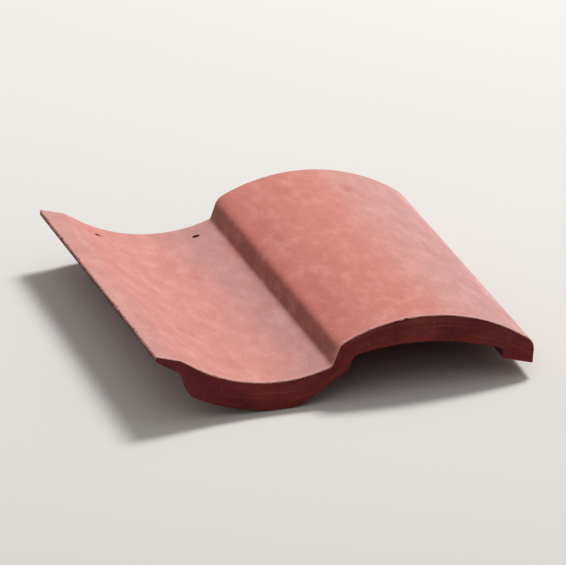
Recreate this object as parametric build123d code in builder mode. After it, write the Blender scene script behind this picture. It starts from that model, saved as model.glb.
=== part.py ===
"""One-piece S-shaped clay roof tile, pressed and fired as a single piece.

The tile is drawn as it is laid: X runs across the roof, Y up the slope from the
nose and Z straight out of the roof. X is zero at the foot of the riser, Y at the
nose, and Z on the lowest line of the pan. At the end the finished tile is turned
to lie on a level floor, roll up and nose towards -Y. Sizes are in millimetres.
"""

from math import acos, asin, atan2, cos, degrees, hypot, pi, radians, sin, sqrt, tan
import os

from build123d import *

# Along the slope, and how far the roll covers the flange of the next tile
LENGTH = 450.0
SIDE_LAP = 19.5

# Pan, the open trough on the left
PAN_RADIUS = 125.0
PAN_TO_RISER = 57.5
PAN_TO_FLANGE = 52.0

# Lap flange, the thin strip whose outer part, a flatter ledge, the next tile's roll covers
FLANGE_WIDTH = 30.5
FLANGE_THICK = 10.0
FLANGE_STEP = 7.0
LEDGE_SLOPE = 8.0

# Riser and roll
RISER_LEAN = 15.0
RISER_HEIGHT = 16.2
ROLL_RADIUS = 142.0
ROLL_HEIGHT = 56.0
ROLL_OUTER_WIDTH = 73.5
SHOULDER_RADIUS = 12.0
OUTER_SHOULDER_RADIUS = 10.0
HOLLOW_RADIUS = 6.0

# Foot of the roll, a thick edge with a nearly flat bottom
FOOT_WIDTH = 25.0
FOOT_STEP = 7.5

# Body and the thick nose lip
BODY_THICK = 14.0
NOSE_PAN_THICK = 23.0
NOSE_ROLL_THICK = 22.0
NOSE_TOE = 22.0
TOE_RADIUS = 25.0
LIP_LENGTH = 22.0
LIP_RAMP = 12.0
ARRIS_RADIUS = 1.5

# Running clearances to the tile beside this one
LAP_GAP = 1.1
LIP_GAP = 3.5

# Nail holes near the head
NAIL_HOLE = 5.5
NAIL_SPACING = 80.0
NAIL_FROM_HEAD = 30.0


def on_circle(center, radius, x, side):
    """The point of a circle at x, on its upper side (1) or its lower side (-1)."""
    return (x, center[1] + side * sqrt(radius**2 - (x - center[0]) ** 2))


def line_to_circle(start, direction, center, radius):
    """Where a line that leaves start meets the circle, on its far side."""
    back_x, back_z = start[0] - center[0], start[1] - center[1]
    along = back_x * direction[0] + back_z * direction[1]
    reach = sqrt(along**2 - back_x**2 - back_z**2 + radius**2) - along
    return (start[0] + reach * direction[0], start[1] + reach * direction[1])


# Top of the lap flange, a straight line that leaves the pan's arc along its tangent
pan_center = (-PAN_TO_RISER, PAN_RADIUS)
flange_root = on_circle(pan_center, PAN_RADIUS, -PAN_TO_RISER - PAN_TO_FLANGE, -1)
flange_slope = asin(PAN_TO_FLANGE / PAN_RADIUS)
lap_edge = flange_root[0] - FLANGE_WIDTH


def flange_top(x):
    """Height of the lap flange's top face at x."""
    return flange_root[1] + (flange_root[0] - x) * tan(flange_slope)


def flange_under(x):
    """Height of the lap flange's underside at x."""
    return flange_top(x) - FLANGE_THICK / cos(flange_slope)


# The ledge is as wide as the next tile's roll covers
ledge_start = lap_edge + SIDE_LAP
ledge_root = (ledge_start, flange_top(ledge_start))


def ledge_top(x):
    """Height of the ledge's top face at x."""
    return ledge_root[1] + (ledge_start - x) * tan(radians(LEDGE_SLOPE))


# Riser line, from the edge of the pan to the roll
lean = radians(RISER_LEAN)
riser_direction = (sin(lean), cos(lean))
riser_foot = on_circle(pan_center, PAN_RADIUS, 0, -1)
riser_head = (RISER_HEIGHT * tan(lean), riser_foot[1] + RISER_HEIGHT)

# The roll's arc starts at the head of the riser and ends at the outer side
roll_center_z = ROLL_HEIGHT - ROLL_RADIUS
crown_x = riser_head[0] + sqrt(ROLL_RADIUS**2 - (riser_head[1] - roll_center_z) ** 2)
roll_center = (crown_x, roll_center_z)
outer_side = crown_x + ROLL_OUTER_WIDTH
outer_shoulder = on_circle(roll_center, ROLL_RADIUS, outer_side, 1)

# The width that one tile covers, from its own ledge to that of the next tile
cover = outer_side - ledge_start

# The foot of the roll rests over the next tile's ledge, one cover to the right
foot_outer = (outer_side, ledge_top(outer_side - cover) + LAP_GAP)
foot_inner_x = outer_side - FOOT_WIDTH
foot_inner = (foot_inner_x, ledge_top(foot_inner_x - cover) + LAP_GAP)
foot_root = (foot_inner_x, foot_inner[1] + FOOT_STEP)

# The underside of the riser, one body thickness behind its face
riser_under = (
    riser_foot[0] + BODY_THICK * cos(lean),
    riser_foot[1] - BODY_THICK * sin(lean),
)
hollow_corner = line_to_circle(
    riser_under, riser_direction, roll_center, ROLL_RADIUS - BODY_THICK
)

# The thick part of the nose starts clear of the roll of the tile below on the left
lip_start = ledge_start + LIP_GAP


def draw_section(y, pan_thick, roll_thick, toe):
    """The tile's cross-section at y, with its pan and roll as thick as given.

    toe is how far before the riser's foot the underside of the pan turns up.
    """
    pan_under = PAN_RADIUS + pan_thick
    lip_root = on_circle(pan_center, pan_under, lip_start + FLANGE_STEP, -1)
    pan_toe = on_circle(pan_center, pan_under, -toe, -1)
    crown_under = (crown_x, ROLL_HEIGHT - roll_thick)
    edge_top = (lap_edge, ledge_top(lap_edge))
    edge_under = (lap_edge, flange_under(lap_edge))
    step_top = (lip_start, flange_under(lip_start))
    with BuildSketch(Plane.XZ.offset(-y)) as section:
        with BuildLine():
            Polyline(step_top, edge_under, edge_top, ledge_root, flange_root)
            RadiusArc(flange_root, riser_foot, -PAN_RADIUS)
            Line(riser_foot, riser_head)
            RadiusArc(riser_head, outer_shoulder, ROLL_RADIUS)
            Polyline(outer_shoulder, foot_outer, foot_inner, foot_root)
            TangentArc(crown_under, foot_root, tangent=(1, 0))
            TangentArc(crown_under, hollow_corner, tangent=(-1, 0))
            Polyline(hollow_corner, riser_under, pan_toe)
            RadiusArc(pan_toe, lip_root, pan_under)
            Line(lip_root, step_top)
        make_face()
        for corner, radius in (
            (riser_head, SHOULDER_RADIUS),
            (outer_shoulder, OUTER_SHOULDER_RADIUS),
            (hollow_corner, HOLLOW_RADIUS),
            (pan_toe, TOE_RADIUS),
        ):
            fillet(section.vertices().sort_by_distance(corner)[0], radius)
    return section


def nose_section(y):
    """The thick section of the nose lip."""
    return draw_section(y, NOSE_PAN_THICK, NOSE_ROLL_THICK, NOSE_TOE)


def body_section(y):
    """The even section of the body, whose underside turns square below the riser's foot."""
    return draw_section(y, BODY_THICK, BODY_THICK, -BODY_THICK * PAN_TO_RISER / PAN_RADIUS)


# Body with its nose lip, which fades into the even underside over a short ramp
body_start = LIP_LENGTH + LIP_RAMP
with BuildPart() as laid_tile:
    extrude(nose_section(0).sketch, amount=-LIP_LENGTH)
    loft([nose_section(LIP_LENGTH).sketch, body_section(body_start).sketch], ruled=True)
    extrude(body_section(body_start).sketch, amount=body_start - LENGTH)
    # The top arris of the nose is rounded: each of these two edges leads its tangent run
    nose_edges = laid_tile.faces().sort_by(Axis.Y)[0].edges()
    pan_arris = nose_edges.sort_by_distance((-PAN_TO_RISER, 0, 0))[0]
    roll_arris = nose_edges.sort_by_distance((crown_x, 0, ROLL_HEIGHT))[0]
    fillet([pan_arris, roll_arris], ARRIS_RADIUS)
    # Two nail holes square to the pan's face, one each side of its lowest line
    for side in (-1, 1):
        nail_turn = side * asin(NAIL_SPACING / 2 / PAN_RADIUS)
        nail_mouth = (
            pan_center[0] + PAN_RADIUS * sin(nail_turn),
            LENGTH - NAIL_FROM_HEAD,
            pan_center[1] - PAN_RADIUS * cos(nail_turn),
        )
        with Locations(Plane(nail_mouth, z_dir=(-sin(nail_turn), 0, cos(nail_turn)))):
            Hole(NAIL_HOLE / 2, depth=BODY_THICK)

# Lying unheld, the tile touches the floor at three places: the nose lip below the
# pan, the head end of the pan, and the head corner of the roll's foot
foot_x = foot_outer[0] - pan_center[0]
foot_z = foot_outer[1] - pan_center[1]
lying_turn = acos(-(PAN_RADIUS + BODY_THICK) / hypot(foot_x, foot_z)) + atan2(foot_z, foot_x) - pi / 2
lying_pitch = atan2(NOSE_PAN_THICK - BODY_THICK, LENGTH - LIP_LENGTH)
turned = laid_tile.part.rotate(Axis.Y, degrees(lying_turn)).rotate(Axis.X, -degrees(lying_pitch))
box = turned.bounding_box()
middle = box.center()

with BuildPart() as roof_tile:
    add(turned.moved(Location((-middle.X, -middle.Y, -box.min.Z))))
roof_tile.part.label = "roof_tile"

os.makedirs("parts", exist_ok=True)
export_step(roof_tile.part, "parts/roof_tile.step")
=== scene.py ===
"""Looks of a one-piece S-shaped clay roof tile, pressed, sprayed with slip and fired.

The tile is modelled as it is laid on a roof: X runs across, Y up the slope from the nose, and
Z straight out of the roof. X is zero at the foot of the riser, Y at the nose, and Z on the
lowest line of the pan. The finished mesh is then turned to lie on a level floor as the frame
says. Every size is in metres, and MM turns a size that is written in millimetres into metres.
"""

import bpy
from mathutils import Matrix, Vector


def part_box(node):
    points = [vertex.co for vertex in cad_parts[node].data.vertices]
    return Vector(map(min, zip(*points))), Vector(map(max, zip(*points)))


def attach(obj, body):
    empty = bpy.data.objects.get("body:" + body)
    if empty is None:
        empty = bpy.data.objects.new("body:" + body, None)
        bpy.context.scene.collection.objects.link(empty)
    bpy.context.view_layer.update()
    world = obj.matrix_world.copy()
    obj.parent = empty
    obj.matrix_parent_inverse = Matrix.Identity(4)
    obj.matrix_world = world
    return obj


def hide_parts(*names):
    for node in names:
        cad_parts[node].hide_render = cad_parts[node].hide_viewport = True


bl_info = {
    "name": "Clay Roof Tile",
    "version": (1, 0, 0),
    "blender": (4, 5, 0),
    "location": "3D View > Sidebar > Roof Tile",
    "description": "Models a pressed clay roof tile with its sprayed slip coat, and a plain stage",
    "category": "Add Mesh",
}

import random
from math import acos, asin, atan2, cos, pi, radians, sin, sqrt, tan
from types import SimpleNamespace

import bmesh
import bpy
from bpy.props import FloatProperty, FloatVectorProperty, IntProperty, PointerProperty
from bpy.types import Operator, Panel, PropertyGroup
from mathutils import Matrix, Vector, kdtree, noise

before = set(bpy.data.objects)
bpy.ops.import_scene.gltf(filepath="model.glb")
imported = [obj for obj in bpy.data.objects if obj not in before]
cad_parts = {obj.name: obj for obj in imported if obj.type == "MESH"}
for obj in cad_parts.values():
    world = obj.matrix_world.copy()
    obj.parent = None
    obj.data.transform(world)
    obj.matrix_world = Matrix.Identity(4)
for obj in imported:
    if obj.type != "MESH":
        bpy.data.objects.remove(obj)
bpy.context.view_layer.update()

MM = 0.001
SURFACE_MAP = "across_and_along"
NAIL_HOLE_SIDES = (-1, 1)

# An edge is rounded, or shaded as a crease, where its faces meet at more than this turn
ROUNDED_TURN = radians(40)
CREASE_TURN = radians(34)

# Nail holes: the width of the ring of new faces round each mouth, how far a ring is sunk while
# it is bridged, the rounding of a mouth, the sides of a hole, and the coat that reaches its mouth
HOLE_MARGIN = 1.8 * MM
RING_SINK = 2 * MM
MOUTH_ROUNDING = 0.8 * MM
HOLE_SEGMENTS = 32
MOUTH_COAT = 0.96

# Relief: the span of the warp and of the ripples, the width and length of the drag lines, and
# the height that the noise seldom rises above
WARP_SPAN = 140 * MM
RIPPLE_SPAN = 34 * MM
DRAG_WIDTH = 9 * MM
DRAG_LENGTH = 160 * MM
NOISE_PEAK = 0.6

# Chips: the smallest as a share of the largest, the depth as a share of half the width, and
# the seed that draws their places and sizes
SMALLEST_CHIP = 0.35
CHIP_DEPTH = 0.3
CHIP_SEED = 11

# The turned tile may differ from the frame's box by this much
BOX_TOLERANCE = 0.5 * MM

# How far both lamps stand from the origin, and how far the camera sees, in metres
LAMP_DISTANCE = 5.0
CAMERA_REACH = 100.0


def linear(colour):
    """An sRGB hex colour as linear red, green, blue and alpha."""
    parts = [int(colour[n : n + 2], 16) / 255 for n in (0, 2, 4)]
    return [p / 12.92 if p <= 0.04045 else ((p + 0.055) / 1.055) ** 2.4 for p in parts] + [1.0]


def length(name, about, millimetres):
    """A length of the tile or the stage, which Blender shows in the scene's own unit."""
    return FloatProperty(name=name, description=about, default=millimetres * MM, unit="LENGTH", precision=4)


def angle(name, about, degrees):
    """An angle, given in degrees."""
    return FloatProperty(name=name, description=about, default=radians(degrees), unit="ROTATION")


def paint(name, about, colour):
    """A colour, given as sRGB hex."""
    return FloatVectorProperty(name=name, description=about, default=linear(colour), size=4, subtype="COLOR")


def brightness(name, about, share):
    """A brightness, as a share of white."""
    return FloatProperty(name=name, description=about, default=share, subtype="FACTOR")


class TileSizes(PropertyGroup):
    """The sizes of the tile, which are the same as in the frame."""

    length: length("Length", "From the nose to the head", 450)
    side_lap: length("Side lap", "How far the roll covers the flange of the next tile", 19.5)
    pan_radius: length("Pan radius", "Radius of the pan's top face", 125)
    pan_to_riser: length("Pan to riser", "From the pan's lowest line to the riser", 57.5)
    pan_to_flange: length("Pan to flange", "From the pan's lowest line to the lap flange", 52)
    flange_width: length("Flange width", "Width of the lap flange across the roof", 30.5)
    flange_thick: length("Flange thickness", "Thickness of the lap flange", 10)
    flange_step: length("Flange step", "Width of the step under the lap flange", 7)
    ledge_slope: angle("Ledge slope", "Slope of the flange's outer part, under the next roll", 8)
    riser_lean: angle("Riser lean", "Lean of the riser from upright", 15)
    riser_height: length("Riser height", "From the riser's foot to the roll's arc", 16.2)
    roll_radius: length("Roll radius", "Radius of the roll's top face", 142)
    roll_height: length("Roll height", "From the pan's lowest line to the roll's crown", 56)
    roll_outer_width: length("Roll outer width", "From the crown to the roll's outer side", 73.5)
    shoulder_radius: length("Shoulder radius", "Rounding at the top of the riser", 12)
    outer_shoulder_radius: length("Outer shoulder radius", "Rounding at the outer side", 10)
    hollow_radius: length("Hollow radius", "Rounding inside the roll beside the riser", 6)
    foot_width: length("Foot width", "Width of the roll's foot across the roof", 25)
    foot_step: length("Foot step", "Height of the foot's inner face", 7.5)
    body_thick: length("Body thickness", "Thickness behind the nose", 14)
    nose_pan_thick: length("Nose thickness, pan", "Thickness of the nose below the pan", 23)
    nose_roll_thick: length("Nose thickness, roll", "Thickness of the nose below the crown", 22)
    nose_toe: length("Nose toe", "Where the nose's underside turns up, before the riser", 22)
    toe_radius: length("Toe radius", "Rounding where the underside turns up to the roll", 25)
    lip_length: length("Lip length", "How far the thick nose reaches up the slope", 22)
    lip_ramp: length("Lip ramp", "Over which the nose fades into the body", 12)
    lap_gap: length("Lap gap", "Clearance between a roll's foot and the flange below it", 1.1)
    lip_gap: length("Lip gap", "Clearance between the thick nose and the next roll", 3.5)
    nail_hole: length("Nail hole", "Diameter of a nail hole", 5.5)
    nail_spacing: length("Nail spacing", "Between the two nail holes", 80)
    nail_from_head: length("Nail from head", "From the head to the nail holes", 30)
    arris_radius: length("Arris radius", "Rounding of the outer corners", 1.3)
    warp: length("Warp", "How far the tile pulled out of shape in the kiln", 0.5)
    ripple: length("Ripple", "Depth of the hand-sized waves in the surface", 0.3)
    drag: length("Drag", "Depth of the lines that the press left along the tile", 0.1)
    chips: IntProperty(name="Chips", description="Number of chips along the outer corners", default=30)
    chip_size: length("Chip size", "Half the width of the largest chip", 2.4)


class TileFinish(PropertyGroup):
    """The colours of the slip coat and of the bare clay."""

    salmon: paint("Salmon", "The coat on the pan", "DE958B")
    haze: paint("Haze", "The mauve-grey spray beside the riser", "CE948F")
    # Thin is painted darker than the coat beside it: a thin coat, and painted shade on the riser, which turns
    # away from the key lamp
    thin: paint("Thin", "The thin coat on the steep riser", "A3665D")
    rose: paint("Rose", "The coat beside the shoulder of the roll", "D78176")
    coral: paint("Coral", "The coat on the crown of the roll", "DB887B")
    blush: paint("Blush", "The thin coat on the outer half of the roll", "D59890")
    lilac: paint("Lilac", "The coat on the outer side of the roll", "D39B98")
    flash: paint("Flash", "The coat where the second spray was heavy", "CA6D60")
    # Pale also paints the highlight along the rounded corners and the nose's edge
    pale_and_highlight: paint("Pale", "The coat where it clouded or dried on a corner", "E8B5AC")
    speck: paint("Speck", "Pin marks where the coat did not take", "F0D2C6")
    iron: paint("Iron", "Dark iron specks", "96594F")
    # Body is darker than the clay alone: partly its own red-brown, and partly painted shade for the nose,
    # which faces away from the key lamp
    body: paint("Body", "The bare fired clay", "732722")
    body_dark: paint("Dark body", "The bare clay in its creases and streaks", "5A1C1A")
    body_plum: paint("Plum body", "The bare clay where the kiln burnt it darker", "6B1D2C")
    body_light: paint("Light body", "The bare clay on worn corners", "955044")


class StageSettings(PropertyGroup):
    """The floor, the lamps and the camera."""

    floor_size: length("Floor size", "Side of the square floor", 24000)
    floor: paint("Floor", "A matt painted studio floor", "E9E6E2")
    frame_width: length("Framed width", "Width at the tile that the picture takes in", 446)
    lens: FloatProperty(name="Lens", description="Focal length in millimetres", default=850, unit="CAMERA")
    azimuth: angle("Azimuth", "Turn of the view from straight up the slope", -13.6)
    elevation: angle("Elevation", "Angle of the view above the tile's own plane", 14.4)
    tilt: angle("Tilt", "Lean of the picture to the right", 4.2)
    key_level: brightness("Key level", "Brightness that the key lamp gives a white face", 0.8)
    fill_level: brightness("Fill level", "Brightness that the fill lamp gives a white face", 0.04)
    sky_level: brightness("Sky level", "Brightness that the light from all round gives a white face", 0.34)


class TileScene(PropertyGroup):
    """Everything that can be changed."""

    sizes: PointerProperty(type=TileSizes)
    finish: PointerProperty(type=TileFinish)
    stage: PointerProperty(type=StageSettings)


def on_circle(center, radius, x, side):
    """The point of a circle at x, on its upper side (1) or its lower side (-1)."""
    return Vector((x, center.y + side * sqrt(radius**2 - (x - center.x) ** 2)))


def line_to_circle(start, direction, center, radius):
    """Where a line that leaves start meets the circle, on its far side."""
    back = start - center
    along = back.dot(direction)
    return start + direction * (sqrt(along**2 - back.length_squared + radius**2) - along)


def flange_height(at, x):
    """Height of the lap flange's top face at x."""
    return at.flange_root.y + (at.flange_root.x - x) * tan(at.flange_slope)


def lay_out(sizes):
    """The corner points and arc centres that the cross-section has all along the tile.

    A point's first number is X, across the roof, and its second is Z, out of the roof.
    """
    at = SimpleNamespace()
    at.pan_center = Vector((-sizes.pan_to_riser, sizes.pan_radius))
    at.flange_root = on_circle(at.pan_center, sizes.pan_radius, -sizes.pan_to_riser - sizes.pan_to_flange, -1)
    at.flange_slope = asin(sizes.pan_to_flange / sizes.pan_radius)
    at.riser_foot = on_circle(at.pan_center, sizes.pan_radius, 0, -1)
    at.riser = Vector((sin(sizes.riser_lean), cos(sizes.riser_lean)))
    at.inward = Vector((at.riser.y, -at.riser.x))

    riser_head = at.riser_foot + at.riser * (sizes.riser_height / at.riser.y)
    roll_z = sizes.roll_height - sizes.roll_radius
    at.crown_x = riser_head.x + sqrt(sizes.roll_radius**2 - (riser_head.y - roll_z) ** 2)
    at.roll_center = Vector((at.crown_x, roll_z))
    at.outer_side = at.crown_x + sizes.roll_outer_width

    small = sizes.roll_radius - sizes.shoulder_radius
    at.shoulder_center = line_to_circle(
        at.riser_foot + at.inward * sizes.shoulder_radius, at.riser, at.roll_center, small
    )
    at.shoulder_start = at.shoulder_center - at.inward * sizes.shoulder_radius
    at.shoulder_end = at.roll_center.lerp(at.shoulder_center, sizes.roll_radius / small)

    small = sizes.roll_radius - sizes.outer_shoulder_radius
    at.outer_center = on_circle(at.roll_center, small, at.outer_side - sizes.outer_shoulder_radius, 1)
    at.outer_start = at.roll_center.lerp(at.outer_center, sizes.roll_radius / small)
    at.outer_end = Vector((at.outer_side, at.outer_center.y))

    lap_edge = at.flange_root.x - sizes.flange_width
    ledge_start = lap_edge + sizes.side_lap
    ledge_rise = tan(sizes.ledge_slope)
    at.ledge_root = Vector((ledge_start, flange_height(at, ledge_start)))
    at.edge_top = at.ledge_root + Vector((-1, ledge_rise)) * sizes.side_lap
    drop = sizes.flange_thick / cos(at.flange_slope)
    at.edge_under = Vector((lap_edge, flange_height(at, lap_edge) - drop))
    lip_start = ledge_start + sizes.lip_gap
    at.step_top = Vector((lip_start, flange_height(at, lip_start) - drop))
    at.foot_outer = Vector((at.outer_side, at.ledge_root.y + sizes.lap_gap))
    at.foot_inner = at.foot_outer + Vector((-1, ledge_rise)) * sizes.foot_width
    at.foot_root = at.foot_inner + Vector((0, sizes.foot_step))

    at.riser_under = at.riser_foot + at.inward * sizes.body_thick
    at.hollow_corner = line_to_circle(
        at.riser_under, at.riser, at.roll_center, sizes.roll_radius - sizes.body_thick
    )
    return at


class Chain:
    """A row of vertices, drawn leg by leg in the tile's cross-section.

    across keeps each vertex's distance from the row's start, and top_share is 1 on the upper
    row and 0 on the lower one.
    """

    def __init__(self, mesh, start, y, top_share):
        self.mesh = mesh
        self.y = y
        self.tip = mesh.verts.new((start.x, y, start.y))
        self.across = mesh.verts.layers.float["across"]
        self.tip[mesh.verts.layers.float["top_share"]] = top_share
        self.edges = []

    def step(self):
        """Extrudes the last vertex and returns the new one, which still lies on it."""
        made = bmesh.ops.extrude_vert_indiv(self.mesh, verts=[self.tip])
        self.edges += made["edges"]
        return made["verts"][0]

    def land(self, vert):
        """Takes the moved vertex as the row's new end."""
        vert[self.across] = self.tip[self.across] + (vert.co - self.tip.co).length
        self.tip = vert

    def line_to(self, end, steps):
        """A straight leg."""
        move = (Vector((end.x, self.y, end.y)) - self.tip.co) / steps
        for _ in range(steps):
            vert = self.step()
            bmesh.ops.translate(self.mesh, verts=[vert], vec=move)
            self.land(vert)

    def arc_to(self, center, end, steps):
        """A leg that turns about center."""
        start = Vector((self.tip.co.x, self.tip.co.z)) - center
        turn = start.angle_signed(end - center) / steps
        for _ in range(steps):
            vert = self.step()
            bmesh.ops.rotate(
                self.mesh, verts=[vert], cent=(center.x, self.y, center.y),
                matrix=Matrix.Rotation(turn, 3, "Y"),
            )
            self.land(vert)


def arc_under_crown(crown, end):
    """The centre of the arc that is level at the crown and passes through end."""
    reach = end - crown
    return Vector((crown.x, crown.y + reach.length_squared / (2 * reach.y)))


def draw_section(mesh, sizes, at, y, pan_thick, roll_thick, toe):
    """The cross-section at y as a strip of faces between its upper and its lower row.

    toe is how far before the riser's foot the underside of the pan turns up. The legs of the
    two rows have as many vertices in all, so the strip is made of quads.
    """
    upper = Chain(mesh, at.edge_top, y, 1.0)
    upper.line_to(at.ledge_root, steps=10)
    upper.line_to(at.flange_root, steps=6)
    upper.arc_to(at.pan_center, at.riser_foot, steps=52)
    upper.line_to(at.shoulder_start, steps=8)
    upper.arc_to(at.shoulder_center, at.shoulder_end, steps=8)
    upper.arc_to(at.roll_center, at.outer_start, steps=66)
    upper.arc_to(at.outer_center, at.outer_end, steps=7)

    pan_under = sizes.pan_radius + pan_thick
    crown_under = Vector((at.crown_x, sizes.roll_height - roll_thick))
    left_center = arc_under_crown(crown_under, at.hollow_corner)
    left_radius = crown_under.y - left_center.y
    hollow_center = line_to_circle(
        at.riser_under + at.inward * sizes.hollow_radius, at.riser, left_center,
        left_radius - sizes.hollow_radius,
    )
    hollow_end = left_center.lerp(hollow_center, left_radius / (left_radius - sizes.hollow_radius))

    toe_corner = on_circle(at.pan_center, pan_under, -toe, -1)
    away = (toe_corner - at.riser_under).normalized()
    aside = Vector((away.y, -away.x)) * sizes.toe_radius
    toe_center = line_to_circle(
        at.riser_under + aside, away, at.pan_center, pan_under - sizes.toe_radius
    )
    toe_start = at.pan_center.lerp(toe_center, pan_under / (pan_under - sizes.toe_radius))

    lower = Chain(mesh, at.edge_under, y, 0.0)
    lower.line_to(at.step_top, steps=14)
    lower.line_to(on_circle(at.pan_center, pan_under, at.step_top.x + sizes.flange_step, -1), steps=6)
    lower.arc_to(at.pan_center, toe_start, steps=42)
    lower.arc_to(toe_center, toe_center - aside, steps=6)
    lower.line_to(at.riser_under, steps=6)
    lower.line_to(hollow_center - at.inward * sizes.hollow_radius, steps=4)
    lower.arc_to(hollow_center, hollow_end, steps=4)
    lower.arc_to(left_center, crown_under, steps=32)
    lower.arc_to(arc_under_crown(crown_under, at.foot_root), at.foot_root, steps=28)
    lower.line_to(at.foot_inner, steps=4)
    lower.line_to(at.foot_outer, steps=11)

    strip = bmesh.ops.bridge_loops(mesh, edges=upper.edges + lower.edges)
    bmesh.ops.subdivide_edges(mesh, edges=strip["edges"], cuts=5, use_grid_fill=True)
    return [f for f in mesh.faces if all(abs(v.co.y - y) < MM for v in f.verts)]


def sweep(mesh, faces, distance, rows):
    """Extrudes a flat end of the tile up the slope, with rings between, and returns its new faces."""
    near = {v for f in faces for v in f.verts}
    geometry = bmesh.ops.extrude_face_region(mesh, geom=faces)["geom"]
    far = [v for v in geometry if isinstance(v, bmesh.types.BMVert)]
    end_faces = [f for f in geometry if isinstance(f, bmesh.types.BMFace)]
    bmesh.ops.translate(mesh, verts=far, vec=(0, distance, 0))
    far = set(far)
    long_edges = [e for v in near for e in v.link_edges if e.other_vert(v) in far]
    bmesh.ops.subdivide_edges(mesh, edges=long_edges, cuts=rows - 1, use_grid_fill=True)
    return end_faces


def press_body(mesh, sizes, at):
    """The whole body: a thick nose, a ramp on its underside, and the even body behind it."""
    nose = draw_section(mesh, sizes, at, 0, sizes.nose_pan_thick, sizes.nose_roll_thick, sizes.nose_toe)
    nose_back = sweep(mesh, nose, sizes.lip_length, rows=10)
    bmesh.ops.delete(mesh, geom=nose_back, context="FACES")

    body_start = sizes.lip_length + sizes.lip_ramp
    toe = -sizes.body_thick * sizes.pan_to_riser / sizes.pan_radius
    body = draw_section(mesh, sizes, at, body_start, sizes.body_thick, sizes.body_thick, toe)
    sweep(mesh, body, sizes.length - body_start, rows=160)
    bmesh.ops.delete(mesh, geom=body, context="FACES")

    ramp = bmesh.ops.bridge_loops(mesh, edges=[e for e in mesh.edges if e.is_boundary])
    bmesh.ops.subdivide_edges(mesh, edges=ramp["edges"], cuts=4, use_grid_fill=True)
    bmesh.ops.recalc_face_normals(mesh, faces=mesh.faces)


def pierce_nail_hole(mesh, sizes, at, side):
    """One round hole square to the pan's face, with a rounded mouth on both sides."""
    turn = side * asin(sizes.nail_spacing / 2 / sizes.pan_radius)
    outward = Vector((-sin(turn), 0, cos(turn)))
    center = Vector((at.pan_center.x, sizes.length - sizes.nail_from_head, at.pan_center.y))
    radius = sizes.nail_hole / 2
    opened = radius + HOLE_MARGIN
    layers = mesh.verts.layers.float
    mesh.normal_update()
    mouths = []
    for depth, facing in ((0, 1), (sizes.body_thick, -1)):
        mouth = center - outward * (sizes.pan_radius + depth)
        # What faces within 60 degrees of the mouth belongs to its side of the tile
        near = [
            v for v in mesh.verts
            if (v.co - mouth).length < opened and v.normal.dot(outward) * facing > cos(pi / 3)
        ]
        across = sum(v[layers["across"]] for v in near) / len(near)
        mouth += outward * sum((v.co - mouth).dot(outward) for v in near) / len(near)
        cut = {f for v in near for f in v.link_faces}
        rim = [e for e in {e for f in cut for e in f.edges} if not cut.issuperset(e.link_faces)]
        bmesh.ops.delete(mesh, geom=near, context="VERTS")
        place = Matrix.Translation(mouth) @ outward.to_track_quat("Z", "Y").to_matrix().to_4x4()
        for reach, coated in ((opened, 1.0), (radius, MOUTH_COAT)):
            ring = bmesh.ops.create_circle(
                mesh, segments=HOLE_SEGMENTS, radius=reach, matrix=place
            )["verts"]
            for vert in ring:
                vert[layers["across"]] = across
                vert[layers["top_share"]] = coated * max(facing, 0)
            ring_edges = list({e for v in ring for e in v.link_edges})
            # Rings in one plane can be bridged the wrong way round, so the new one is sunk first
            sunk = outward * (-facing * RING_SINK)
            bmesh.ops.translate(mesh, verts=ring, vec=sunk)
            bmesh.ops.bridge_loops(mesh, edges=rim + ring_edges)
            bmesh.ops.translate(mesh, verts=ring, vec=-sunk)
            rim = ring_edges
        mouths.append(rim)
    bmesh.ops.bridge_loops(mesh, edges=mouths[0] + mouths[1])
    bmesh.ops.bevel(
        mesh, geom=mouths[0] + mouths[1], offset=MOUTH_ROUNDING, segments=3, profile=0.5,
        affect="EDGES", material=-1,
    )


def round_arrises(mesh, sizes):
    """Rounds every outer corner of the tile, and marks the rounded strip as arris."""
    corners = [
        e for e in mesh.edges
        if e.is_manifold and e.is_convex and e.calc_face_angle() > ROUNDED_TURN
    ]
    rounded = bmesh.ops.bevel(
        mesh, geom=corners, offset=sizes.arris_radius, segments=3, profile=0.5,
        affect="EDGES", material=-1,
    )
    arris = mesh.verts.layers.float["arris"]
    for face in rounded["faces"]:
        for vert in face.verts:
            vert[arris] = 1.0


def spray_sides(mesh, sizes):
    """Marks how thick the mist of spray lies: it fades down the two long sides and misses the ends."""
    layers = mesh.verts.layers.float
    for vert in mesh.verts:
        # Only the two ends themselves lie less than a millimetre from an end
        if MM < vert.co.y < sizes.length - MM:
            vert[layers["mist"]] = vert[layers["top_share"]]


def add_relief(mesh, sizes):
    """Kiln warp, ripples and drag lines. They only lower the surface, so the tile keeps its box."""
    across = mesh.verts.layers.float["across"]
    ripple_shift = Vector((7, 3, 5))
    drag_shift = 2
    mesh.normal_update()
    moves = []
    for vert in mesh.verts:
        laid = Vector((vert[across] / DRAG_WIDTH, vert.co.y / DRAG_LENGTH, drag_shift))
        warp = noise.noise(vert.co / WARP_SPAN) - NOISE_PEAK
        ripple = noise.noise(vert.co / RIPPLE_SPAN + ripple_shift) - NOISE_PEAK
        line = noise.noise(laid) - NOISE_PEAK
        depth = (sizes.warp * warp + sizes.ripple * ripple + sizes.drag * line) / 2
        moves.append((vert, vert.normal * depth))
    for vert, move in moves:
        vert.co += move


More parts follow.
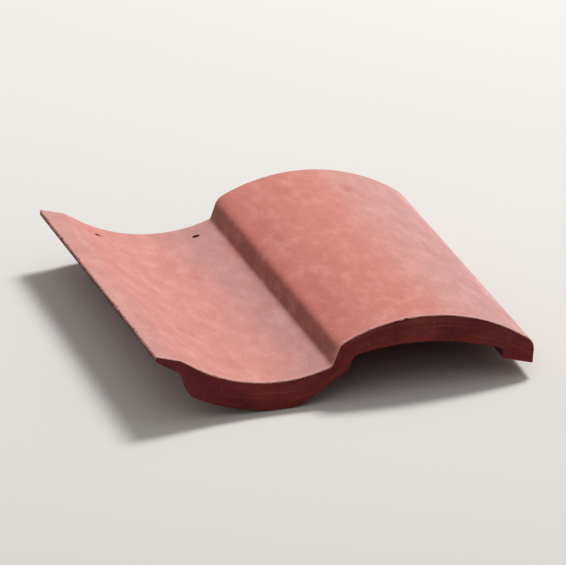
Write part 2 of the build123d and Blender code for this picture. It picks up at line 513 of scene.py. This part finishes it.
def chip_arrises(mesh, sizes):
    """Knocks small chips out of the rounded corners, mostly small ones and a few large."""
    arris = mesh.verts.layers.float["arris"]
    chipped = mesh.verts.layers.float["chipped"]
    mesh.normal_update()
    corner = sorted((v for v in mesh.verts if v[arris] > 0.5), key=lambda v: v.co.to_tuple(6))
    tree = kdtree.KDTree(len(mesh.verts))
    verts = list(mesh.verts)
    for n, vert in enumerate(verts):
        tree.insert(vert.co, n)
    tree.balance()
    dice = random.Random(CHIP_SEED)
    for _ in range(sizes.chips):
        middle = dice.choice(corner)
        size = sizes.chip_size * (SMALLEST_CHIP + (1 - SMALLEST_CHIP) * dice.random() ** 3)
        inward = -middle.normal
        for _, n, distance in tree.find_range(middle.co.copy(), size):
            share = (1 - (distance / size) ** 2) ** 2
            verts[n].co += inward * (CHIP_DEPTH * size * share)
            verts[n][chipped] = max(verts[n][chipped], share)


def lying_turn(sizes, at):
    """The turn from the tile as it is laid to the tile as it lies unheld on a level floor.

    It rests on the nose lip below the pan, the head of the pan and the foot of the roll.
    """
    foot = at.foot_outer - at.pan_center
    lowest = sizes.pan_radius + sizes.body_thick
    turn = acos(-lowest / foot.length) + atan2(foot.y, foot.x) - pi / 2
    pitch = atan2(sizes.nose_pan_thick - sizes.body_thick, sizes.length - sizes.lip_length)
    return Matrix.Rotation(-pitch, 4, "X") @ Matrix.Rotation(turn, 4, "Y")


def corners_of(points):
    """The lowest and the highest corner of a box around the points."""
    points = list(points)
    return [Vector([pick(p[n] for p in points) for n in range(3)]) for pick in (min, max)]


def map_surface(mesh):
    """The surface map: U is the distance across the tile, and V the distance from its nose."""
    across = mesh.verts.layers.float["across"]
    uv = mesh.loops.layers.uv.new(SURFACE_MAP)
    for face in mesh.faces:
        for corner in face.loops:
            corner[uv].uv = (corner.vert[across], corner.vert.co.y)


def shade(mesh):
    """Smooth shading, with a crease wherever two faces meet at more than a slight turn."""
    for face in mesh.faces:
        face.smooth = True
    for edge in mesh.edges:
        edge.smooth = not (edge.is_manifold and edge.calc_face_angle() > CREASE_TURN)


def add_node(tree, kind, inputs=None, **settings):
    """Adds one shader node. inputs gives its sockets a value or a link, by name or number."""
    made = tree.nodes.new(kind)
    for name, value in settings.items():
        setattr(made, name, value)
    for socket, value in (inputs or {}).items():
        if isinstance(value, bpy.types.NodeSocket):
            tree.links.new(value, made.inputs[socket])
        else:
            made.inputs[socket].default_value = value
    return made


def per(millimetres):
    """The pattern scale whose features are about that wide."""
    return 1 / (millimetres * MM)


def stretched_noise(tree, place, across, along, detail, shift):
    """Noise on the surface map, with features of that many millimetres across and along.

    shift moves the pattern, so that no two of them are alike.
    """
    laid = add_node(tree, "ShaderNodeMapping", {
        "Vector": place, "Location": (shift, shift, 0), "Scale": (per(across), per(along), 1),
    })
    return add_node(tree, "ShaderNodeTexNoise", {
        "Vector": laid.outputs[0], "Scale": 1, "Detail": detail, "Roughness": 0.6,
    }).outputs["Fac"]


def lay_over(tree, below, colour, pattern, unseen_at, seen_at, most=1.0):
    """Lays a colour over the one below, where a pattern goes from unseen_at to seen_at.

    most is the share of the colour at its strongest.
    """
    share = add_node(tree, "ShaderNodeMapRange", {
        "Value": pattern, "From Min": unseen_at, "From Max": seen_at, "To Max": most,
    }, interpolation_type="SMOOTHSTEP").outputs[0]
    return add_node(tree, "ShaderNodeMix", {0: share, 6: below, 7: colour}, data_type="RGBA").outputs[2]


def tone(tree, colour, pattern, low, high, darkest, lightest):
    """A colour made darkest where a pattern is low, and lightest where it is high."""
    share = add_node(tree, "ShaderNodeMapRange", {
        "Value": pattern, "From Min": low, "From Max": high, "To Min": darkest, "To Max": lightest,
    }, interpolation_type="SMOOTHSTEP").outputs[0]
    return add_node(tree, "ShaderNodeMix", {0: 1.0, 6: colour, 7: share},
                    data_type="RGBA", blend_type="MULTIPLY").outputs[2]


def combine(tree, operation, value, pattern, low, high, at_low, at_high):
    """A value combined with a pattern, which counts as at_low below low and as at_high above high."""
    change = add_node(tree, "ShaderNodeMapRange", {
        "Value": pattern, "From Min": low, "From Max": high, "To Min": at_low, "To Max": at_high,
    }, interpolation_type="SMOOTHSTEP").outputs[0]
    return add_node(tree, "ShaderNodeMath", {0: value, 1: change}, operation=operation).outputs[0]


def spray_bands(tree, place, width, finish):
    """The bands that fixed spray guns leave on a tile that passes under them nose first.

    Places are shares of the width, from the lap edge on. The steep riser gets a darker colour: a thin coat,
    and painted shade.
    """
    foot_start, foot_end, shoulder_start, shoulder_end = 0.432, 0.446, 0.472, 0.492
    across = add_node(tree, "ShaderNodeSeparateXYZ", {0: place}).outputs[0]
    past_foot = add_node(tree, "ShaderNodeMapRange", {
        "Value": across, "From Min": foot_start * width, "From Max": foot_end * width,
    }, interpolation_type="SMOOTHSTEP").outputs[0]
    # steep marks the riser, whose darker colour is partly painted shade
    steep = combine(
        tree, "MINIMUM", past_foot, across,
        low=shoulder_start * width, high=shoulder_end * width, at_low=1, at_high=0,
    )

    # The bands wander by up to 9 mm and their edges feather by up to 4 mm
    wander = stretched_noise(tree, place, across=55, along=170, detail=2, shift=3.1)
    feather = stretched_noise(tree, place, across=7, along=60, detail=3, shift=8.4)
    moved = combine(tree, "ADD", across, wander, low=0.2, high=0.8, at_low=-9 * MM, at_high=9 * MM)
    moved = combine(tree, "ADD", moved, feather, low=0.2, high=0.8, at_low=-4 * MM, at_high=4 * MM)
    share = add_node(tree, "ShaderNodeMath", {0: moved, 1: width}, operation="DIVIDE").outputs[0]
    ramp = add_node(tree, "ShaderNodeValToRGB", {0: share})
    stops = (
        (0.00, finish.blush), (0.12, finish.salmon), (0.29, finish.salmon), (0.38, finish.haze),
        (0.44, finish.haze), (0.48, finish.rose), (0.54, finish.rose), (0.60, finish.coral),
        (0.69, finish.coral), (0.80, finish.blush), (0.94, finish.lilac), (1.00, finish.pale_and_highlight),
    )
    elements = ramp.color_ramp.elements
    while len(elements) < len(stops):
        elements.new(1.0)
    for element, (position, colour) in zip(elements, stops):
        element.position = position
        element.color = colour
    # The riser takes the darker colour, which stands for its thin coat and for its shade
    return add_node(tree, "ShaderNodeMix", {0: steep, 6: ramp.outputs[0], 7: finish.thin},
                    data_type="RGBA").outputs[2]


def slip_coat(tree, place, solid, width, finish):
    """The colour of the slip coat, from the spray bands down to single specks.

    Noise lies mostly between 0.3 and 0.7, so unseen_at and seen_at say how much of the face a
    layer takes.
    """
    coat = spray_bands(tree, place, width, finish)
    flashes = stretched_noise(tree, place, across=30, along=85, detail=4, shift=21.7)
    coat = lay_over(tree, coat, finish.flash, flashes, unseen_at=0.52, seen_at=0.78, most=0.45)
    clouds = stretched_noise(tree, place, across=22, along=45, detail=4, shift=40.3)
    coat = lay_over(tree, coat, finish.pale_and_highlight, clouds, unseen_at=0.54, seen_at=0.8, most=0.35)
    streaks = stretched_noise(tree, place, across=4, along=120, detail=2, shift=5.5)
    coat = tone(tree, coat, streaks, low=0.3, high=0.7, darkest=0.98, lightest=1.015)
    mottle = stretched_noise(tree, place, across=13, along=34, detail=6, shift=13.9)
    coat = tone(tree, coat, mottle, low=0.3, high=0.7, darkest=0.93, lightest=1.05)
    coat = lay_over(tree, coat, finish.pale_and_highlight, mottle, unseen_at=0.48, seen_at=0.82, most=0.4)
    warmth = stretched_noise(tree, place, across=19, along=48, detail=6, shift=31.4)
    coat = lay_over(tree, coat, finish.rose, warmth, unseen_at=0.5, seen_at=0.8, most=0.5)
    pins = add_node(tree, "ShaderNodeTexVoronoi", {"Vector": solid, "Scale": per(15)})
    coat = lay_over(
        tree, coat, finish.speck, pins.outputs["Distance"], unseen_at=0.055, seen_at=0.03, most=0.75,
    )
    dots = add_node(tree, "ShaderNodeTexVoronoi", {"Vector": solid, "Scale": per(9)})
    return lay_over(
        tree, coat, finish.iron, dots.outputs["Distance"], unseen_at=0.05, seen_at=0.03, most=0.45,
    )


def bare_body(tree, solid, layers, score, grit, finish):
    """The colour of the bare clay: cloudy and gritty, with the layers of the pressed slug on its
    ends and the score lines of the die on its underside.
    """
    clouds = add_node(tree, "ShaderNodeTexNoise", {"Vector": solid, "Scale": per(30), "Detail": 4})
    bare = lay_over(
        tree, finish.body, finish.body_dark, clouds.outputs["Fac"], unseen_at=0.35, seen_at=0.68,
    )
    smoke = add_node(tree, "ShaderNodeTexNoise", {"Vector": solid, "Scale": per(52), "Detail": 3})
    bare = lay_over(
        tree, bare, finish.body_plum, smoke.outputs["Fac"], unseen_at=0.45, seen_at=0.65, most=0.5,
    )
    # The score lines show only faintly
    scored = add_node(tree, "ShaderNodeMath", {0: score, 1: 0.14}, operation="MULTIPLY").outputs[0]
    bare = add_node(tree, "ShaderNodeMix", {0: scored, 6: bare, 7: finish.body_light},
                    data_type="RGBA").outputs[2]
    bare = tone(tree, bare, grit, low=0.3, high=0.7, darkest=0.84, lightest=1.2)
    bare = lay_over(tree, bare, finish.body_light, layers, unseen_at=0.5, seen_at=0.7, most=0.3)
    bare = lay_over(tree, bare, finish.body_dark, layers, unseen_at=0.48, seen_at=0.34, most=0.5)
    grog = add_node(tree, "ShaderNodeTexVoronoi", {"Vector": solid, "Scale": per(9)})
    return lay_over(
        tree, bare, finish.body_light, grog.outputs["Distance"], unseen_at=0.12, seen_at=0.05, most=0.4,
    )


def slip_coated_red_clay(finish, width):
    """Red clay, pressed to shape, sprayed with coloured slip on its face and fired unglazed.

    The thin matt coat hides the clay on top and misses it below, on the nose and where corners
    are knocked, so the eye reads chalky salmon over a dark, gritty red-brown body, painted darker as shade.
    """
    material = bpy.data.materials.new("slip_coated_red_clay")
    material.use_nodes = True
    tree = material.node_tree
    tree.nodes.clear()
    place = add_node(tree, "ShaderNodeUVMap", uv_map=SURFACE_MAP).outputs[0]
    across, along = add_node(tree, "ShaderNodeSeparateXYZ", {0: place}).outputs[:2]
    solid = add_node(tree, "ShaderNodeTexCoord").outputs["Object"]
    top_share, mist, arris, chipped = (
        add_node(tree, "ShaderNodeAttribute", attribute_name=layer).outputs["Fac"]
        for layer in ("top_share", "mist", "arris", "chipped")
    )
    # Real grit is finer, and is drawn this coarse so that it shows in the render
    grit = add_node(tree, "ShaderNodeTexNoise", {
        "Vector": solid, "Scale": per(1.3), "Detail": 3, "Roughness": 0.6,
    }).outputs["Fac"]
    rough_edge = add_node(tree, "ShaderNodeTexNoise", {
        "Vector": solid, "Scale": per(6), "Detail": 4, "Roughness": 0.65,
    }).outputs["Fac"]

    # The layers of the slug run with the tile's upper face, each about a fifth of the thickness
    layer_place = add_node(tree, "ShaderNodeCombineXYZ", {0: across, 1: top_share}).outputs[0]
    layer_place = add_node(tree, "ShaderNodeMapping", {
        "Vector": layer_place, "Scale": (per(70), 5.5, 1),
    }).outputs[0]
    layers = add_node(tree, "ShaderNodeTexNoise", {
        "Vector": layer_place, "Scale": 1, "Detail": 4, "Roughness": 0.6,
    }).outputs["Fac"]

    # Every rounded corner and the edge of the nose are made about a third paler: a painted highlight along
    # the edges, where the coat also dries paler
    coat = slip_coat(tree, place, solid, width, finish)
    # rim is the painted highlight on the corners and near the nose's edge
    rim = combine(tree, "MAXIMUM", arris, along, low=2 * MM, high=8 * MM, at_low=1, at_high=0)
    rim = add_node(tree, "ShaderNodeMath", {0: rim, 1: 0.36}, operation="MULTIPLY").outputs[0]
    coat = add_node(tree, "ShaderNodeMix", {0: rim, 6: coat, 7: finish.pale_and_highlight},
                    data_type="RGBA").outputs[2]

    # The die scored only the underside, where top_share is next to nothing
    score = add_node(tree, "ShaderNodeMapRange", {
        "Value": stretched_noise(tree, place, across=4, along=110, detail=4, shift=9.2),
        "From Min": 0.45, "From Max": 0.68,
    }, interpolation_type="SMOOTHSTEP").outputs[0]
    score = combine(tree, "MULTIPLY", score, top_share, low=0, high=0.06, at_low=1, at_high=0)
    bare = bare_body(tree, solid, layers, score, grit, finish)

    # The coat ends raggedly at the top of the nose and in a mist on the long sides, and it is
    # worn off the corners and gone from the chips
    worn = combine(tree, "MULTIPLY", arris, rough_edge, low=0.52, high=0.66, at_low=0, at_high=0.6)
    worn = combine(tree, "MAXIMUM", worn, chipped, low=0.15, high=0.5, at_low=0, at_high=1)
    kept = add_node(tree, "ShaderNodeMath", {0: 1.0, 1: worn}, operation="SUBTRACT").outputs[0]
    reach = combine(tree, "ADD", top_share, rough_edge, low=0.2, high=0.8, at_low=-0.03, at_high=0.03)
    covered = add_node(tree, "ShaderNodeMapRange", {
        "Value": reach, "From Min": 0.935, "From Max": 0.98,
    }, interpolation_type="SMOOTHSTEP").outputs[0]
    mist = combine(tree, "ADD", mist, rough_edge, low=0.2, high=0.8, at_low=-0.2, at_high=0.2)
    mist = combine(tree, "ADD", mist, grit, low=0.3, high=0.7, at_low=-0.14, at_high=0.14)
    covered = combine(tree, "MAXIMUM", covered, mist, low=0.2, high=0.9, at_low=0, at_high=1)
    covered = add_node(tree, "ShaderNodeMath", {0: covered, 1: kept}, operation="MULTIPLY").outputs[0]
    colour = add_node(tree, "ShaderNodeMix", {0: covered, 6: bare, 7: coat}, data_type="RGBA").outputs[2]
    colour = tone(tree, colour, grit, low=0.25, high=0.75, darkest=0.9, lightest=1.08)

    # Grit and pits all over, the layers on the ends and the score lines below stand in the bump
    pits = add_node(tree, "ShaderNodeTexVoronoi", {"Vector": solid, "Scale": per(11)}).outputs["Distance"]
    height = combine(tree, "ADD", grit, pits, low=0.03, high=0.09, at_low=-0.6, at_high=0)
    for more in (layers, score):
        height = add_node(tree, "ShaderNodeMath", {0: height, 1: more}, operation="ADD").outputs[0]
    bump_strength, roughness = (
        add_node(tree, "ShaderNodeMapRange", {
            "Value": covered, "To Min": on_bare, "To Max": on_coat,
        }, interpolation_type="SMOOTHSTEP").outputs[0]
        for on_bare, on_coat in ((0.8, 0.4), (0.94, 0.82))
    )
    bump = add_node(tree, "ShaderNodeBump", {
        "Strength": bump_strength, "Distance": 0.25 * MM, "Height": height,
    })
    surface = add_node(tree, "ShaderNodeBsdfPrincipled", {
        "Base Color": colour, "Roughness": roughness, "IOR": 1.4, "Normal": bump.outputs[0],
    })
    add_node(tree, "ShaderNodeOutputMaterial", {"Surface": surface.outputs[0]})
    return material


def matt_floor_paint(settings):
    """Matt emulsion on board, rolled on, which gives a pale floor with no shine."""
    material = bpy.data.materials.new("matt_floor_paint")
    material.use_nodes = True
    tree = material.node_tree
    tree.nodes.clear()
    surface = add_node(tree, "ShaderNodeBsdfPrincipled", {
        "Base Color": settings.floor, "Roughness": 0.95, "IOR": 1.45,
    })
    add_node(tree, "ShaderNodeOutputMaterial", {"Surface": surface.outputs[0]})
    return material


def finished_object(name, mesh, material):
    """A new object at the origin that holds the mesh."""
    data = bpy.data.meshes.new(name)
    mesh.to_mesh(data)
    mesh.free()
    data.materials.append(material)
    made = bpy.data.objects.new(name, data)
    bpy.context.scene.collection.objects.link(made)
    return made


class CLAYTILE_OT_roof_tile(Operator):
    """Press, round, wear and finish the roof tile"""

    bl_idname = "clay_tile.roof_tile"
    bl_label = "Roof Tile"

    def execute(self, context):
        sizes = context.scene.clay_tile.sizes
        at = lay_out(sizes)
        mesh = bmesh.new()
        for layer in ("across", "top_share", "mist", "arris", "chipped"):
            mesh.verts.layers.float.new(layer)
        press_body(mesh, sizes, at)

        turn = lying_turn(sizes, at)
        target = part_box("roof_tile")
        lowest, highest = corners_of(turn @ v.co for v in mesh.verts)
        if (highest - lowest - (target[1] - target[0])).length > BOX_TOLERANCE:
            raise RuntimeError("The tile's sizes differ from the frame's")

        layers = mesh.verts.layers.float
        width = max(v[layers["across"]] for v in mesh.verts if v[layers["top_share"]] == 1)
        spray_sides(mesh, sizes)
        round_arrises(mesh, sizes)
        chip_arrises(mesh, sizes)
        add_relief(mesh, sizes)
        for side in NAIL_HOLE_SIDES:
            pierce_nail_hole(mesh, sizes, at, side)
        map_surface(mesh)
        bmesh.ops.transform(mesh, matrix=Matrix.Translation(target[0] - lowest) @ turn, verts=mesh.verts)
        shade(mesh)
        material = slip_coated_red_clay(context.scene.clay_tile.finish, width)
        tile = finished_object("pressed_tile", mesh, material)
        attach(tile, "root")
        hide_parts("roof_tile")
        return {"FINISHED"}


def add_lamp(name, direction, size, level):
    """A square soft lamp. level is the brightness that it alone gives a white face turned to it."""
    data = bpy.data.lights.new(name, "AREA")
    data.size = size
    data.energy = level * pi**2 * LAMP_DISTANCE**2
    lamp = bpy.data.objects.new(name, data)
    lamp.location = direction.normalized() * LAMP_DISTANCE
    lamp.rotation_euler = direction.to_track_quat("Z", "Y").to_euler()
    lamp.visible_camera = False
    bpy.context.scene.collection.objects.link(lamp)


def add_camera(settings, turn):
    """The camera at the photograph's angle to the tile, far off with a long lens."""
    lean, rise = settings.azimuth, settings.elevation
    back = Vector((sin(lean) * cos(rise), -cos(lean) * cos(rise), sin(rise)))
    right = Vector((cos(lean), sin(lean), 0))
    up = back.cross(right)
    tilted = Matrix.Rotation(settings.tilt, 3, back)
    axes = Matrix((tilted @ right, tilted @ up, back)).transposed()
    data = bpy.data.cameras.new("camera")
    data.lens = settings.lens
    data.clip_end = CAMERA_REACH
    camera = bpy.data.objects.new("camera", data)
    facing = turn.to_3x3() @ axes
    low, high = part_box("roof_tile")
    distance = settings.frame_width * data.lens / data.sensor_width
    camera.matrix_world = Matrix.Translation((low + high) / 2 + facing.col[2] * distance) @ facing.to_4x4()
    bpy.context.scene.collection.objects.link(camera)
    bpy.context.scene.camera = camera


class CLAYTILE_OT_stage(Operator):
    """Add the pale floor, the soft lamps and the camera"""

    bl_idname = "clay_tile.stage"
    bl_label = "Stage"

    def execute(self, context):
        settings = context.scene.clay_tile.stage
        sizes = context.scene.clay_tile.sizes
        mesh = bmesh.new()
        bmesh.ops.create_grid(mesh, x_segments=1, y_segments=1, size=settings.floor_size / 2)
        finished_object("floor", mesh, matt_floor_paint(settings))

        add_lamp("key", Vector((0.55, 0.55, 1.0)), size=1.4, level=settings.key_level)
        add_lamp("fill", Vector((-0.3, -1.0, 0.7)), size=3.0, level=settings.fill_level)
        world = bpy.data.worlds.new("studio")
        world.use_nodes = True
        background = world.node_tree.nodes["Background"]
        background.inputs["Color"].default_value = linear("FFFDFA")
        background.inputs["Strength"].default_value = settings.sky_level
        context.scene.world = world
        context.scene.view_settings.view_transform = "Standard"
        add_camera(settings, lying_turn(sizes, lay_out(sizes)))
        return {"FINISHED"}


class CLAYTILE_PT_panel(Panel):
    """The sizes, colours and buttons of the roof tile"""

    bl_idname = "CLAYTILE_PT_panel"
    bl_label = "Roof Tile"
    bl_space_type = "VIEW_3D"
    bl_region_type = "UI"
    bl_category = "Roof Tile"

    def draw(self, context):
        settings = context.scene.clay_tile
        for group, button in (
            (settings.sizes, CLAYTILE_OT_roof_tile),
            (settings.finish, None),
            (settings.stage, CLAYTILE_OT_stage),
        ):
            box = self.layout.box()
            for name in group.__annotations__:
                box.prop(group, name)
            if button:
                box.operator(button.bl_idname)


CLASSES = (
    TileSizes, TileFinish, StageSettings, TileScene,
    CLAYTILE_OT_roof_tile, CLAYTILE_OT_stage, CLAYTILE_PT_panel,
)


def register():
    """Registers the classes and gives the scene its settings."""
    for kind in CLASSES:
        bpy.utils.register_class(kind)
    bpy.types.Scene.clay_tile = PointerProperty(type=TileScene)


def unregister():
    """Takes the settings and the classes out again."""
    del bpy.types.Scene.clay_tile
    for kind in reversed(CLASSES):
        bpy.utils.unregister_class(kind)


def main():
    """Makes the stage and the tile."""
    register()
    bpy.ops.clay_tile.stage()
    bpy.ops.clay_tile.roof_tile()


if __name__ == "__main__":
    main()
